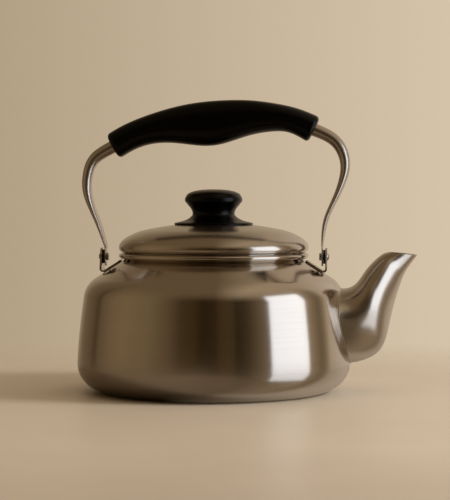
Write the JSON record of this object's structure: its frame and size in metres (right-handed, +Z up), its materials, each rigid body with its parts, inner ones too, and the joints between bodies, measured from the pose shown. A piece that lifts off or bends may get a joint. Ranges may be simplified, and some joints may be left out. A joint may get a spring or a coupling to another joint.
{
  "type": "stove-top kettle",
  "caption": "Wide satin-steel stove-top kettle with a short open spout, domed lid with black knob, and a folding bail handle with a black moulded grip.",
  "frame": {"origin": "centre of the flat base, on the body's axis", "axes": "+Z up along the body's axis, +X towards the spout, handle pivots on the X axis"},
  "size_m": [0.249, 0.2, 0.2133],
  "materials": {
    "satin_steel": "satin brushed round the axis",
    "polished_steel": "bright pressed steel",
    "handle_tube": "polished tube, grain along its length",
    "black_moulding": "black heat-resistant moulding, satin",
    "washer_nylon": "black, matt",
    "insert_brass": "knurled"
  },
  "bodies": {
    "body": {"body_shell": "satin_steel", "spout": "satin_steel", "lug_left": "polished_steel", "lug_right": "polished_steel", "pivot_washer_left": "washer_nylon", "pivot_washer_right": "washer_nylon", "pivot_rivet_left": "polished_steel", "pivot_rivet_right": "polished_steel"},
    "lid": {"lid_dome": "satin_steel", "lid_skirt": "satin_steel", "knob": "black_moulding", "knob_insert": "insert_brass", "knob_washer": "polished_steel", "knob_screw": "polished_steel"},
    "handle": {"leg_left": "handle_tube", "leg_right": "handle_tube", "grip": "black_moulding", "grip_screw_left": "polished_steel", "grip_screw_right": "polished_steel"}
  },
  "joints": [
    {"name": "handle_fold", "type": "hinge", "parent": "body", "child": "handle", "pos_m": [0, 0, 0.0984], "axis": [1, 0, 0], "range_deg": [-90, 90]},
    {"name": "lid_lift", "type": "slide", "parent": "body", "child": "lid", "axis": [0, 0, 1], "range_m": [0, 0.03]}
  ]
}
